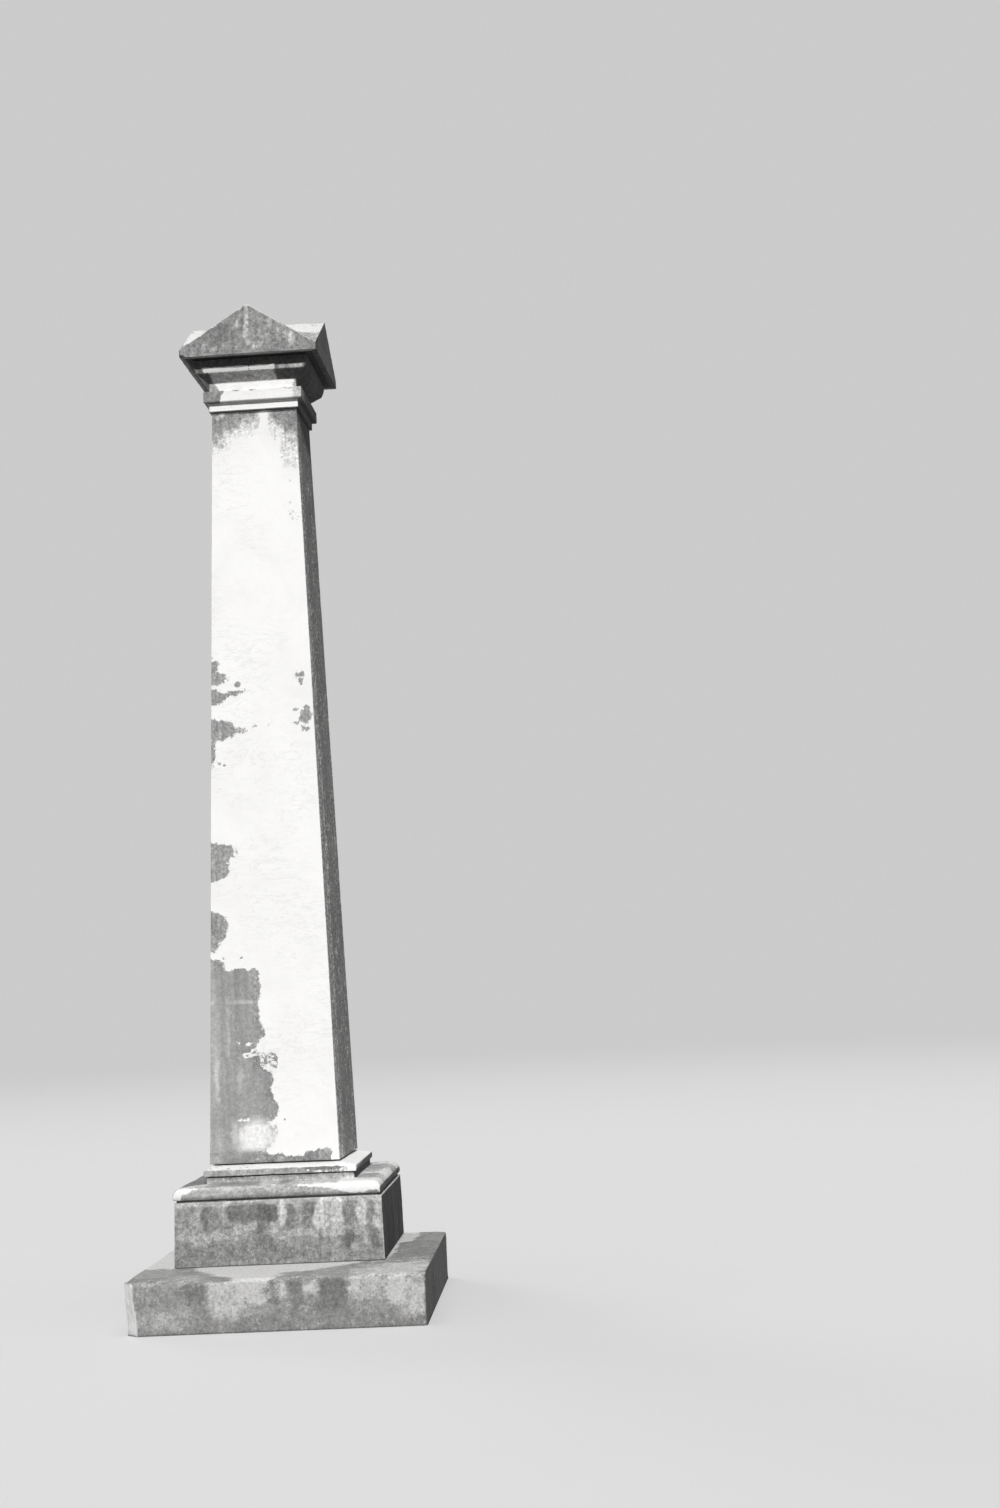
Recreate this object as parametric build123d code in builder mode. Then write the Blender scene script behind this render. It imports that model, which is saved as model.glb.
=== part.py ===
from build123d import *
import os

# An obelisk of white marble: a tapered shaft on a plinth, a base moulding and a die,
# under a neck band, a bed mould and a cap with four equal gables. The stones stand one
# on another on thin mortar beds, on a rough slab that is wider at the front and right.
# Millimetres. The front faces -Y, and the origin is at the centre of the slab's foot.
# Heights run upward from one stone to the next, so a change of one moves all above it.

# Die, a square block with a slight batter on all four faces
die_foot_width = 760
die_batter = 4.5
die_height = 227
die_arris_radius = 3

# Slab, with its ledges measured out from the foot of the die
ledge_front = 319
ledge_back = 10
ledge_left = 117
ledge_right = 168
slab_height = 180
slab_arris_radius = 6
slab_corner_easing = 6
slab_worn_corner = 38

# Plinth under the shaft, with a wash that rises to the shaft's seat on all four sides
plinth_ledge = 39
plinth_face_height = 21
plinth_height = 36
seat_setback = 8

# Base moulding, a bullnose, a wash and a fillet that the plinth overhangs
moulding_shift_x = -4
nose_overhang = 2.5
nose_bulge = 6
nose_drop = 11
nose_radius = 35
wash_rise = 1
moulding_height = 68
plinth_overhang = 8

# Shaft, which stands to the left of the plinth's centre
shaft_shift_x = -21.5
shaft_shift_y = -3
shaft_foot_width = 484
shaft_top_width = 331
shaft_height = 2850
shaft_arris_radius = 2

# Neck, a flat band over a lower fillet
neck_overhang = 8
neck_fillet_height = 31
band_projection = 18
band_height = 44

# Bed mould, a short neck and a slanting cyma under a broad fillet
mould_inset = 20
mould_neck_height = 31
cyma_projection = 50.5
cyma_height = 30
cyma_hollow_radius = 8
cyma_round_radius = 14
mould_height = 113

# Cap, a low fascia under two roofs that cross
cap_overhang = 43.5
fascia_height = 27
gable_rise = 167

# Mortar beds, each set back from the narrower of the stones that it joins
slab_bed_height = 2
die_bed_height = 8
moulding_bed_height = 4
plinth_bed_height = 5
shaft_bed_height = 7
neck_bed_height = 3
cap_bed_height = 2
bed_setback = 6

# Widths that follow from the stones below and above
die_top_width = die_foot_width - 2 * die_batter
slab_width = die_foot_width + ledge_left + ledge_right
slab_depth = die_foot_width + ledge_front + ledge_back
nose_width = die_top_width + 2 * nose_overhang
moulding_foot_width = nose_width - 2 * nose_bulge
plinth_width = shaft_foot_width + 2 * plinth_ledge
moulding_fillet_width = plinth_width - 2 * plinth_overhang
seat_width = shaft_foot_width - 2 * seat_setback
neck_fillet_width = shaft_top_width + 2 * neck_overhang
band_width = neck_fillet_width + 2 * band_projection
mould_neck_width = band_width - 2 * mould_inset
mould_width = mould_neck_width + 2 * cyma_projection
cap_width = mould_width + 2 * cap_overhang

# Axes of the stones
die_x = (ledge_left - ledge_right) / 2
die_y = (ledge_front - ledge_back) / 2
moulding_x = die_x + moulding_shift_x
shaft_x = moulding_x + shaft_shift_x
shaft_y = die_y + shaft_shift_y

# Heights of the stones above the slab's foot
die_foot = slab_height + slab_bed_height
die_top = die_foot + die_height
moulding_foot = die_top + die_bed_height
moulding_top = moulding_foot + moulding_height
plinth_foot = moulding_top + moulding_bed_height
plinth_top = plinth_foot + plinth_height
shaft_foot = plinth_top + plinth_bed_height
shaft_top = shaft_foot + shaft_height
neck_foot = shaft_top + shaft_bed_height
band_top = neck_foot + neck_fillet_height + band_height
mould_foot = band_top + neck_bed_height
mould_top = mould_foot + mould_height
cap_foot = mould_top + cap_bed_height

BOTTOM_CENTRED = (Align.CENTER, Align.CENTER, Align.MIN)


def upright_planes(x, y, z):
    """Two upright planes through a stone's axis, one facing the front and one the right.
    An outline run through both ways, and cut to what both runs share, mitres its corners."""
    front = Plane(origin=(x, y, z), x_dir=(1, 0, 0), z_dir=(0, -1, 0))
    right = Plane(origin=(x, y, z), x_dir=(0, 1, 0), z_dir=(1, 0, 0))
    return ((front, Mode.ADD), (right, Mode.INTERSECT))


def leaning_edges(part):
    """The four edges of a tapered block that run from its foot to its top."""
    return part.edges().filter_by(Plane.XY, reverse=True)


os.makedirs("parts", exist_ok=True)

# Slab: the front left corner has been knocked off, and the others are worn round
with BuildPart() as base_slab:
    with BuildSketch() as slab_outline:
        Rectangle(slab_width, slab_depth)
        fillet(slab_outline.vertices().filter_by(lambda corner: corner.X > 0 or corner.Y > 0),
               slab_arris_radius + slab_corner_easing)
        chamfer(slab_outline.vertices().sort_by(lambda corner: corner.X + corner.Y)[0],
                slab_worn_corner)
    extrude(amount=slab_height)
    fillet(base_slab.faces().sort_by(Axis.Z)[-1].edges(), slab_arris_radius)
base_slab.part.label = "base_slab"
export_step(base_slab.part, "parts/base_slab.step")

# Die
with BuildPart() as die_block:
    with BuildSketch(Plane((die_x, die_y, die_foot))):
        Rectangle(die_foot_width, die_foot_width)
    with BuildSketch(Plane((die_x, die_y, die_top))):
        Rectangle(die_top_width, die_top_width)
    loft()
    fillet(leaning_edges(die_block), die_arris_radius)
die_block.part.label = "die_block"
export_step(die_block.part, "parts/die_block.step")

# Base moulding
with BuildPart() as base_moulding:
    for plane, mode in upright_planes(moulding_x, die_y, moulding_foot):
        with BuildSketch(plane):
            with BuildLine():
                foot = moulding_foot_width / 2
                nose_tip = (nose_width / 2, nose_drop)
                fillet_face = moulding_fillet_width / 2
                Line((0, 0), (foot, 0))
                TangentArc(nose_tip, (foot, 0), tangent=(0, -1))
                nose = JernArc(start=nose_tip, tangent=(0, 1), radius=nose_radius, arc_size=90)
                Polyline(nose @ 1,
                         (fillet_face, nose_drop + nose_radius + wash_rise),
                         (fillet_face, moulding_height),
                         (0, moulding_height))
                mirror(about=Plane.YZ)
            make_face()
        extrude(amount=nose_width, both=True, mode=mode)
base_moulding.part.label = "base_moulding"
export_step(base_moulding.part, "parts/base_moulding.step")

# Plinth: the wash is steeper on the left, where the shaft stands nearer the edge
with BuildPart() as shaft_plinth:
    with BuildSketch(Plane((moulding_x, die_y, plinth_foot))):
        Rectangle(plinth_width, plinth_width)
    extrude(amount=plinth_face_height)
    with BuildSketch(Plane((moulding_x, die_y, plinth_foot + plinth_face_height))):
        Rectangle(plinth_width, plinth_width)
    with BuildSketch(Plane((shaft_x, shaft_y, plinth_top))):
        Rectangle(seat_width, seat_width)
    loft()
shaft_plinth.part.label = "shaft_plinth"
export_step(shaft_plinth.part, "parts/shaft_plinth.step")

# Shaft
with BuildPart() as shaft:
    with BuildSketch(Plane((shaft_x, shaft_y, shaft_foot))):
        Rectangle(shaft_foot_width, shaft_foot_width)
    with BuildSketch(Plane((shaft_x, shaft_y, shaft_top))):
        Rectangle(shaft_top_width, shaft_top_width)
    loft()
    fillet(leaning_edges(shaft), shaft_arris_radius)
shaft.part.label = "shaft"
export_step(shaft.part, "parts/shaft.step")

# Neck
with BuildPart() as neck_band:
    with Locations((shaft_x, shaft_y, neck_foot)):
        Box(neck_fillet_width, neck_fillet_width, neck_fillet_height, align=BOTTOM_CENTRED)
    with Locations((shaft_x, shaft_y, neck_foot + neck_fillet_height)):
        Box(band_width, band_width, band_height, align=BOTTOM_CENTRED)
neck_band.part.label = "neck_band"
export_step(neck_band.part, "parts/neck_band.step")

# Bed mould
with BuildPart() as bed_mould:
    for plane, mode in upright_planes(shaft_x, shaft_y, mould_foot):
        with BuildSketch(plane):
            with BuildLine():
                neck_face = mould_neck_width / 2
                Line((0, 0), (neck_face, 0))
                FilletPolyline((neck_face, 0),
                               (neck_face, mould_neck_height),
                               (mould_width / 2, mould_neck_height + cyma_height),
                               (mould_width / 2, mould_height),
                               radius=[cyma_hollow_radius, cyma_round_radius])
                Line((mould_width / 2, mould_height), (0, mould_height))
                mirror(about=Plane.YZ)
            make_face()
        extrude(amount=mould_width, both=True, mode=mode)
bed_mould.part.label = "bed_mould"
export_step(bed_mould.part, "parts/bed_mould.step")

# Cap: each roof runs through from gable to gable, so four valleys meet at the middle
with BuildPart() as gabled_cap:
    with Locations((shaft_x, shaft_y, cap_foot)):
        Box(cap_width, cap_width, fascia_height, align=BOTTOM_CENTRED)
    for plane, _ in upright_planes(shaft_x, shaft_y, cap_foot + fascia_height):
        with BuildSketch(plane):
            with BuildLine():
                Polyline((-cap_width / 2, 0), (0, gable_rise), (cap_width / 2, 0), close=True)
            make_face()
        extrude(amount=cap_width / 2, both=True)
gabled_cap.part.label = "gabled_cap"
export_step(gabled_cap.part, "parts/gabled_cap.step")

# Mortar beds, each with the axis of the stone above it: name, centre, stone's width, height
beds = (
    ("slab_bed", (die_x, die_y, slab_height), die_foot_width, slab_bed_height),
    ("die_bed", (moulding_x, die_y, die_top), moulding_foot_width, die_bed_height),
    ("moulding_bed", (moulding_x, die_y, moulding_top), moulding_fillet_width, moulding_bed_height),
    ("plinth_bed", (shaft_x, shaft_y, plinth_top), seat_width, plinth_bed_height),
    ("shaft_bed", (shaft_x, shaft_y, shaft_top), shaft_top_width, shaft_bed_height),
    ("neck_bed", (shaft_x, shaft_y, band_top), mould_neck_width, neck_bed_height),
    ("cap_bed", (shaft_x, shaft_y, mould_top), mould_width, cap_bed_height),
)
for name, centre, stone_width, height in beds:
    bed_width = stone_width - 2 * bed_setback
    with BuildPart() as bed:
        with Locations(centre):
            Box(bed_width, bed_width, height, align=BOTTOM_CENTRED)
    bed.part.label = name
    export_step(bed.part, f"parts/{name}.step")
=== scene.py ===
import math
import bpy
import numpy as np
from mathutils import Matrix, Vector


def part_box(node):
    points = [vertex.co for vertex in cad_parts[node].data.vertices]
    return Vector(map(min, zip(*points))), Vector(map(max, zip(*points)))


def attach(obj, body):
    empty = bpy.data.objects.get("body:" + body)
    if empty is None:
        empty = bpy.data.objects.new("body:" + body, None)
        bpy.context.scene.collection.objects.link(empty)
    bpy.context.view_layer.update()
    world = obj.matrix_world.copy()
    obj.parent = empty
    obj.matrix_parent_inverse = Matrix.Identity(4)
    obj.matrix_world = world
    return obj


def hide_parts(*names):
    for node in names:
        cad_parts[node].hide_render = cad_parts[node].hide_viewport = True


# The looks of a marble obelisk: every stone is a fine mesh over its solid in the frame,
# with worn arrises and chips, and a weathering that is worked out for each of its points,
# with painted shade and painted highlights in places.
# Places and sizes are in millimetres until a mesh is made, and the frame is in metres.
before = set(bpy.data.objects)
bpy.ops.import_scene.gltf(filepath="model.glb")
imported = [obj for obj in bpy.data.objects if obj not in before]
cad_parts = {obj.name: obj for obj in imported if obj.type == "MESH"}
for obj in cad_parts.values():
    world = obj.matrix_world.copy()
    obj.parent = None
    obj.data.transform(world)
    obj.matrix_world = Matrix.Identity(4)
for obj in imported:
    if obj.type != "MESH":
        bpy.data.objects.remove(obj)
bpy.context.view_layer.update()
MM = 0.001

# Camera, as the photograph was taken
CAMERA_PLACE = (1095.4, -7465.0, 1155.5)
CAMERA_YAW, CAMERA_PITCH, CAMERA_ROLL = -1.966, 6.468, -2.645
CAMERA_LENS = 47.476
FILM_WIDTH = 36.0

# Light
SUN_FROM_LEFT, SUN_HEIGHT = -7, 38
SUN_STRENGTH, SUN_SOFTNESS = 3.5, 1.5
TOP_LIGHT = 0.75
BACK_LIGHT = 1.5
SKY = 0.15
BACKDROP = 0.6
FLOOR_COLOUR = 0.64
FLOOR_BOUNCE = 0.18
# The floor's reach, and how far off it fades into the backdrop, in metres
FLOOR_REACH = 90.0
FLOOR_FADE = (6.0, 26.0)

# Profiles that the frame's boxes do not give
DIE_BATTER = 4.5
SLAB_CORNER = 9
SLAB_WORN_CORNER = 31
NOSE_DROP, NOSE_RADIUS, NOSE_BULGE, WASH_RISE = 11, 35, 6, 1
MOULDING_FILLET = 273
PLINTH_FACE = 21
SEAT_WIDTH = 468
SHAFT_TOP_WIDTH = 331
NECK_FILLET, NECK_FILLET_HEIGHT = 174.5, 31
MOULD_NECK, MOULD_NECK_HEIGHT = 171.5, 32
# The cyma as (out, up, rounding) from the neck below it: a slant that turns up into the fillet
CYMA = ((40, 33, 3), (45, 44, 4), (50.5, 62, 8))
FASCIA = 27

# Places on the faces are measured from the upright through the shaft's axis
SHAFT_AXIS = (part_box("shaft")[0][0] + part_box("shaft")[1][0]) / 2 / MM

# Unit vectors out of the front, right, back and left faces, seen from above
FACES = np.array(((0, -1), (1, 0), (0, 1), (-1, 0)), float)
DIAGONAL = math.sqrt(0.5)

# Each face's outward direction, with the direction along it to the next face
SIDES = list(zip(FACES, np.roll(FACES, -1, 0)))

# The stones above the plinth stand turned a little to the right, and a little off their axis
TURNED = ("plinth_bed", "shaft", "shaft_bed", "neck_band", "neck_bed", "bed_mould", "cap_bed",
          "gabled_cap")
TURN, TURN_SHIFT = math.radians(-1.5), 4.5

# Half the width of the smallest ring that closes a stone's foot and top
CORE = 20

# How many steps go round a bend, and how far from a level edge its wear reaches
BEND = 4
WEAR_REACH = 12

# What is painted on a stone, for the materials to read
PAINTED = ("growth", "shade", "rough", "grime")


# Noise
def lattice(i, j, k, seed):
    """Even pseudo-random values from 0 to 1 at whole-number places."""
    h = (i * 73856093) ^ (j * 19349663) ^ (k * 83492791) ^ (seed * 49979687)
    h = ((h ^ (h >> 13)) * 1274126177) & 0x7FFFFFFF
    h = ((h ^ (h >> 15)) * 668265263) & 0x7FFFFFFF
    return ((h ^ (h >> 12)) & 0xFFFFF) / 0xFFFFF


def noise(p, size, seed):
    """Smooth noise from -1 to 1 at points p, with features about size across."""
    q = p / size
    cell = np.floor(q).astype(np.int64)
    f = q - cell
    f = f * f * (3 - 2 * f)
    total = 0
    for corner in np.ndindex(2, 2, 2):
        x, y, z = np.moveaxis(np.abs(1 - np.array(corner) - f), -1, 0)
        total += x * y * z * lattice(*np.moveaxis(cell + corner, -1, 0), seed)
    return total * 2 - 1


def fractal(p, size, seed, octaves=3):
    """Noise with finer and weaker octaves on top, about -1 to 1."""
    size = np.asarray(size, float)
    total, weight, weights = 0, 1.0, 0.0
    for n in range(octaves):
        total += weight * noise(p + 37.3 * n, size / 2 ** n, seed + 7 * n)
        weights += weight
        weight *= 0.55
    return total / weights * 1.5


def smooth(value, low, high):
    """0 below low, 1 above high, and smooth between."""
    t = np.clip((value - low) / (high - low), 0, 1)
    return t * t * (3 - 2 * t)


# Rings of points
def spread(count, bias=0.3):
    """Places from -1 to 1, closer together near the ends."""
    u = np.linspace(-1, 1, count + 1)
    return (1 - bias) * u + bias * np.sin(u * math.pi / 2)


def outline(counts):
    """A square's outline as two sets of plan vectors: a place is inner * (half - r) + arc * r."""
    inner, arc = [], []
    for count, (out, along) in zip(counts, SIDES):
        for u in spread(count):
            inner.append(out + u * along)
            arc.append(out)
        for n in range(1, BEND):
            turn = n / BEND * math.pi / 2
            inner.append(out + along)
            arc.append(out * math.cos(turn) + along * math.sin(turn))
    return np.array(inner), np.array(arc)


def rings(centre, controls):
    """Rings (centre x, y, half width x, y, z) along a profile. A control is
    (half width, z, rounding, step of the run up to it) and may end with its own centre."""
    def place(c):
        return np.array((*(c[4] if len(c) > 4 else centre), *(np.ones(2) * c[0]), c[1]))

    def run(a, b, step):
        length = max(abs(b[2] - a[2]), abs(b[3] - a[3]), math.hypot(b[2] - a[2], b[4] - a[4]))
        n = max(1, math.ceil(length / step))
        return [a + (b - a) * k / n for k in range(1, n + 1)]

    def toward(a, b, distance):
        length = math.hypot(b[2] - a[2], b[4] - a[4])
        return a + (b - a) * min(distance / length, 0.48)

    made = [place(controls[0])]
    for n, control in enumerate(controls[1:], 1):
        here, rounding, step = place(control), control[2], control[3]
        if rounding and n < len(controls) - 1:
            a = toward(here, place(controls[n - 1]), rounding)
            b = toward(here, place(controls[n + 1]), rounding)
            made += run(made[-1], a, step)
            for t in np.linspace(0, 1, BEND + 1)[1:]:
                made.append((1 - t) ** 2 * a + 2 * t * (1 - t) * here + t ** 2 * b)
        else:
            made += run(made[-1], here, step)
    return np.array(made)


def lay_out(ring, counts, corner):
    """Points of all rings, shape (rings, outline, 3), and the plan vectors that face outward."""
    inner, arc = outline(counts)
    half = ring[:, None, 2:4]
    r = np.minimum(corner, half.min(axis=2, keepdims=True) * 0.9)
    plan = inner[None] * (half - r) + arc[None] * r + ring[:, None, 0:2]
    z = np.broadcast_to(ring[:, None, 4:5], plan.shape[:2] + (1,))
    return np.concatenate((plan, z), axis=2), np.broadcast_to(arc, plan.shape)


def normals(p):
    """Outward directions on a grid of points that closes round its second axis."""
    round_ = np.roll(p, -1, 1) - np.roll(p, 1, 1)
    up = np.empty_like(p)
    up[1:-1] = p[2:] - p[:-2]
    up[0], up[-1] = p[1] - p[0], p[-1] - p[-2]
    n = np.cross(round_, up)
    return n / np.maximum(np.linalg.norm(n, axis=2, keepdims=True), 1e-9)


# Wear
def rub(p, way, past, wear, seed, within=True):
    """Rubs an arris down. way adds up the outward directions of its two faces, past adds up how
    far points lie past them, and wear is (depth, how far it varies, size of the variation)."""
    depth, vary, size = wear
    f = past * DIAGONAL + (depth + vary * np.maximum(fractal(p, size, seed), -0.2))
    f = np.where(within, np.maximum(f, 0), 0)
    p -= f[..., None] * np.asarray(way) * DIAGONAL


def bite(p, place, out, depth, reach):
    """Breaks a shallow bowl out of an arris. out points away from the stone."""
    out = np.asarray(out, float) / np.linalg.norm(out)
    q = p - np.asarray(place, float)
    near = np.abs(q).max(axis=-1) < reach * 1.5
    height = q[near] @ out
    away = (q[near] ** 2).sum(axis=-1) - height ** 2
    ragged = 1 + 0.35 * noise(p[near], reach * 0.45, 5)
    f = np.maximum(height + depth * ragged - away * depth / reach ** 2, 0)
    p[near] -= f[:, None] * out


# Fields over a stone's faces, which are one half on an edge
def blob(u, v, cu, cv, ru, rv, soft):
    """A field that is one half on an ellipse and rises inward by 1 in soft millimetres."""
    return 0.5 + (1 - np.hypot((u - cu) / ru, (v - cv) / rv)) * min(ru, rv) / soft


def blobs(u, v, places, soft):
    return np.maximum.reduce([blob(u, v, *place, soft) for place in places])


def between(u, v, left, right, soft):
    """The same field for what lies between two lines, each a list of (v, u) with v rising."""
    return 0.5 + np.minimum(u - np.interp(v, *zip(*left)), np.interp(v, *zip(*right)) - u) / soft


def softly(field):
    return smooth(field, 0, 1)


def touches(shade, u, v, places, soft):
    """Lays soft patches over a shade, in order. A patch is (u, v, radius, radius, shade)."""
    for cu, cv, ru, rv, value in places:
        away = np.cbrt(np.abs((u - cu) / ru) ** 3 + np.abs((v - cv) / rv) ** 3)
        cover = softly(0.5 + (1 - away) * min(ru, rv) / soft)
        shade = shade + (value - shade) * cover
    return shade


# Meshes
def solid_mesh(name, p):
    """A closed mesh from rings of points, with a fan at each end."""
    count, across = p.shape[:2]
    verts = p.reshape(-1, 3)
    i, j = np.meshgrid(np.arange(count - 1) * across, np.arange(across), indexing="ij")
    k = (j + 1) % across
    quads = np.stack((i + j, i + k, i + across + k, i + across + j), -1)
    faces = quads.reshape(-1, 4).tolist()
    ends = np.array((p[0].mean(axis=0), p[-1].mean(axis=0)))
    foot, top = len(verts), len(verts) + 1
    last = (count - 1) * across
    for a in range(across):
        b = (a + 1) % across
        faces.append((foot, b, a))
        faces.append((top, last + a, last + b))
    mesh = bpy.data.meshes.new(name)
    mesh.from_pydata((np.concatenate((verts, ends)) * MM).tolist(), [], faces)
    mesh.polygons.foreach_set("use_smooth", np.ones(len(mesh.polygons), bool))
    mesh.update()
    return mesh


def attribute(mesh, name, values):
    flat = np.clip(values, 0, 1).reshape(-1)
    ends = (values[0].mean(), values[-1].mean())
    layer = mesh.attributes.new(name, "FLOAT", "POINT")
    layer.data.foreach_set("value", np.concatenate((flat, np.clip(ends, 0, 1))).astype(np.float32))


def turned(p):
    """Points of an upper stone, turned about the shaft's axis and shifted."""
    axis = Stone("shaft").centre
    q = p[..., :2] - axis
    c, s = math.cos(TURN), math.sin(TURN)
    plan = np.stack((c * q[..., 0] - s * q[..., 1], s * q[..., 0] + c * q[..., 1]), -1)
    return np.concatenate((plan + axis + (TURN_SHIFT, 0), p[..., 2:]), axis=-1)


def add_object(name, data):
    made = bpy.data.objects.new(name, data)
    bpy.context.scene.collection.objects.link(made)
    return made


class Stone:
    """A stone over its node in the frame. It has the node's box, points p in rings, and four
    layers of painting: growth is how far the grey growth covers the stone, with its edge at one
    half, shade is that growth's grey, and in places painted shade, rough is how far it is
    mottled, and the last is dark dirt, and in places painted shade under overhangs."""

    def __init__(self, node):
        self.node = node
        self.low, self.high = (np.array(corner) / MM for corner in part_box(node))
        self.centre = (self.low + self.high)[:2] / 2
        self.half = (self.high - self.low)[:2] / 2
        self.foot, self.top = self.low[2], self.high[2]

    def cover(self, ring, counts, corner):
        self.ring = ring
        self.p, self.arc = lay_out(ring, counts, corner)

    def lay(self, controls, counts, corner, core=CORE, step=120):
        """Lays points along a profile, which closes at the foot and the top."""
        controls = ((core, self.foot, 0, step), *controls,
                    (core, self.top, 0, step, *controls[-1][4:]))
        self.cover(rings(self.centre, controls), counts, corner)

    def past(self, out, half):
        """How far points lie past the face that out points out of."""
        return (self.p[..., :2] - self.centre) @ out - np.ones(2) * half @ np.abs(out)

    def off_beds(self, margin):
        """0 at the foot and the top, and 1 further from both than a margin."""
        z, top = self.p[..., 2], self.top
        return smooth(z, self.foot, self.foot + margin) * (1 - smooth(z, top - margin, top))

    def off_levels(self):
        """1 on the upright faces and 0 on the foot and the top."""
        return 1 - smooth(np.abs(normals(self.p)[..., 2]), 0.3, 0.7)

    def roughen(self, waves, sink, where=1):
        """Moves faces in and out by waves, as (amount, size, seed), and sinks them a little."""
        rough = sum(amount * fractal(self.p, *wave) for amount, *wave in waves)
        self.p += normals(self.p) * ((rough - sink) * where)[..., None]

    def round_level(self, half, z, radii, size, seed):
        """Rounds a level top edge, each arris to its own (least radius, further radius)."""
        p = self.p
        for face, (out, _) in enumerate(SIDES):
            least, further = radii[face]
            r = least + further * smooth(fractal(p, size, seed + face), -0.6, 0.8)
            u, v = r + self.past(out, half), r - (z - p[..., 2])
            length = np.maximum(np.hypot(u, v), 1e-6)
            over = np.where((u > 0) & (v > 0), np.maximum(length - r, 0) / length, 0)
            p[..., :2] -= (u * over)[..., None] * out
            p[..., 2] -= v * over

    def wear_level(self, half, z, up, wear, seed):
        """Rubs down the arrises of a level edge. up is 1 for a top edge and -1 for a foot."""
        for face, (out, _) in enumerate(SIDES):
            rise = self.p[..., 2] - z
            rub(self.p, (*out, up), self.past(out, half) + rise * up, wear, seed + face,
                np.abs(rise) < WEAR_REACH)

    def wear_corners(self, wear, seed):
        """Rubs down the upright or mitred corners all the way up."""
        ring = self.ring[:, None]
        for face, (a, b) in enumerate(SIDES):
            q = self.p[..., :2] - ring[..., :2]
            half_a, half_b = (ring[..., 2:4] @ np.abs(out) for out in (a, b))
            rub(self.p, (*(a + b), 0), q @ a - half_a + q @ b - half_b, wear, seed + face)

    def level(self, half, z, up):
        """The arrises of a level edge, as (end, end, outward direction)."""
        return [((*(self.centre + (out - along) * half), z),
                 (*(self.centre + (out + along) * half), z), (*out, up)) for out, along in SIDES]

    def uprights(self, low_half, low_z, high_half, high_z):
        """The corners between two levels, as (end, end, outward direction)."""
        return [((*(self.centre + way * low_half), low_z),
                 (*(self.centre + way * high_half), high_z), (*way, 0))
                for way in (out + along for out, along in SIDES)]

    def chip(self, edges, count, sizes, seed):
        """Breaks small chips of random sizes out of random places along edges."""
        draw = np.random.default_rng(seed)
        lengths = np.array([np.linalg.norm(np.subtract(b, a)) for a, b, _ in edges])
        for _ in range(count):
            a, b, out = edges[draw.choice(len(edges), p=lengths / lengths.sum())]
            place = np.array(a) + np.subtract(b, a) * draw.random()
            reach = sizes[0] + (sizes[1] - sizes[0]) * draw.random() ** 3
            bite(self.p, place, out, reach * (0.16 + 0.14 * draw.random()), reach)

    def start_painting(self, *waves):
        """The points' x from the shaft's axis, y and z, with noise for each of the waves."""
        p = self.p
        self.up = normals(p)[..., 2]
        self.weights = [np.clip(self.arc @ out, 0, 1) ** 2 for out in FACES]
        for name, value in zip(PAINTED, (0.0, 0.5, 1.0, 0.0)):
            setattr(self, name, np.full(p.shape[:2], value))
        noises = (fractal(p, *wave) for wave in waves)
        return p[..., 0] - SHAFT_AXIS, p[..., 1], p[..., 2], *noises

    def by_face(self, front, right, back, left=None):
        """A value for each face, run together round the corners."""
        values = (front, right, back, back if left is None else left)
        return sum(w * v for w, v in zip(self.weights, values))

    def streaks(self, width, length, seed):
        """Noise drawn out down the stone, as rain leaves it."""
        return fractal(self.p, (width, width, length), seed)

    def finish(self, slot="marble"):
        """Makes the piece that takes the node's place."""
        node = self.node
        mesh = solid_mesh(node + "_stone", turned(self.p) if node in TURNED else self.p)
        for name in PAINTED:
            attribute(mesh, name, getattr(self, name))
        mesh.materials.append(MATERIALS[slot])
        piece = add_object(node + "_stone", mesh)
        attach(piece, "root")
        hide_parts(node)


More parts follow.
